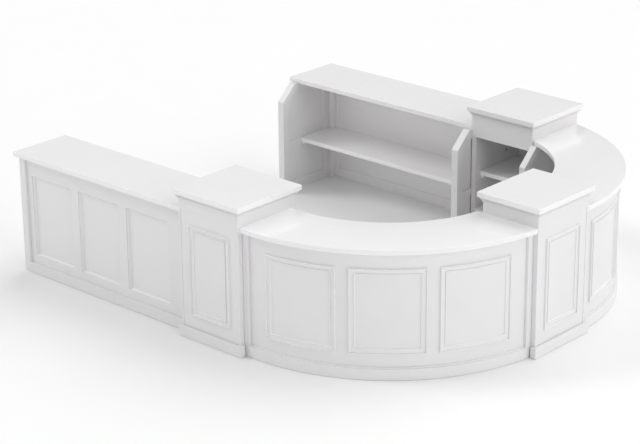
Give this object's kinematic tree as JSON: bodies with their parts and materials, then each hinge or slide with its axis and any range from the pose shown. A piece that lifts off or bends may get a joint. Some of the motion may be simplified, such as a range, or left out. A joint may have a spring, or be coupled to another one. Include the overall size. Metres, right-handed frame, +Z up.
{
  "type": "checkout counter",
  "caption": "U-shaped panelled shop counter: straight and curved units between square capped pillars, open shelves and framed end panels on the staff side.",
  "frame": {"origin": "centre of the plan's bounding box, on the floor", "axes": "+Z up, +X along the front from the free end of straight A to pillar 2, +Y from the front to straight B at the back"},
  "size_m": [3.778, 3.251, 1.062],
  "materials": {
    "body_lacquer": "satin white lacquer on MDF",
    "trim_lacquer": "satin white lacquer on moulded trim",
    "inner_lacquer": "satin white lacquer, staff side",
    "shelf_lacquer": "satin white lacquered shelf",
    "top_lacquer": "semi-gloss white lacquered top",
    "zinc_steel": "zinc plated"
  },
  "bodies": {
    "counter": {"connector_bolts": "zinc_steel", "curve_1_battens": "inner_lacquer", "curve_1_front": "body_lacquer", "curve_1_panel_mouldings": "trim_lacquer", "curve_1_plinth": "body_lacquer", "curve_1_shelf": "shelf_lacquer", "curve_1_top": "top_lacquer", "curve_1_wing_front_pillar": "body_lacquer", "curve_1_wing_side_pillar": "body_lacquer", "curve_2_battens": "inner_lacquer", "curve_2_front": "body_lacquer", "curve_2_panel_mouldings": "trim_lacquer", "curve_2_plinth": "body_lacquer", "curve_2_shelf": "shelf_lacquer", "curve_2_top": "top_lacquer", "curve_2_wing_front_pillar": "body_lacquer", "curve_2_wing_side_pillar": "body_lacquer", "pillar_1_cap": "top_lacquer", "pillar_1_cornice": "trim_lacquer", "pillar_1_deck": "shelf_lacquer", "pillar_1_frieze": "body_lacquer", "pillar_1_front": "body_lacquer", "pillar_1_sides": "body_lacquer", "pillar_2_cap": "top_lacquer", "pillar_2_cornice": "trim_lacquer", "pillar_2_deck": "shelf_lacquer", "pillar_2_frieze": "body_lacquer", "pillar_2_front": "body_lacquer", "pillar_2_sides": "body_lacquer", "pillar_3_cap": "top_lacquer", "pillar_3_cornice": "trim_lacquer", "pillar_3_deck": "shelf_lacquer", "pillar_3_frieze": "body_lacquer", "pillar_3_front": "body_lacquer", "pillar_3_sides": "body_lacquer", "pillar_cleats": "inner_lacquer", "pillar_mouldings": "trim_lacquer", "pillar_plinths": "body_lacquer", "straight_a_battens": "inner_lacquer", "straight_a_front_frame": "body_lacquer", "straight_a_lining": "inner_lacquer", "straight_a_panel_beads": "trim_lacquer", "straight_a_plinth": "body_lacquer", "straight_a_top": "top_lacquer", "straight_a_wing_free": "body_lacquer", "straight_a_wing_pillar": "body_lacquer", "straight_b_battens": "inner_lacquer", "straight_b_front_frame": "body_lacquer", "straight_b_lining": "inner_lacquer", "straight_b_panel_beads": "trim_lacquer", "straight_b_plinth": "body_lacquer", "straight_b_top": "top_lacquer", "straight_b_wing_free": "body_lacquer", "straight_b_wing_pillar": "body_lacquer"},
    "shelf_a": {"straight_a_shelf": "shelf_lacquer"},
    "shelf_b": {"straight_b_shelf": "shelf_lacquer"},
    "shelf_p1": {"pillar_1_shelf": "shelf_lacquer"},
    "shelf_p2": {"pillar_2_shelf": "shelf_lacquer"},
    "shelf_p3": {"pillar_3_shelf": "shelf_lacquer"}
  },
  "joints": [
    {"name": "shelf_a_draw", "type": "slide", "parent": "counter", "child": "shelf_a", "axis": [0, 1, 0], "range_m": [0, 0.18]},
    {"name": "shelf_b_draw", "type": "slide", "parent": "counter", "child": "shelf_b", "axis": [0, -1, 0], "range_m": [0, 0.18]},
    {"name": "shelf_p1_draw", "type": "slide", "parent": "counter", "child": "shelf_p1", "axis": [0, 1, 0], "range_m": [0, 0.18]},
    {"name": "shelf_p2_draw", "type": "slide", "parent": "counter", "child": "shelf_p2", "axis": [-1, 0, 0], "range_m": [0, 0.18]},
    {"name": "shelf_p3_draw", "type": "slide", "parent": "counter", "child": "shelf_p3", "axis": [0, -1, 0], "range_m": [0, 0.18]}
  ]
}
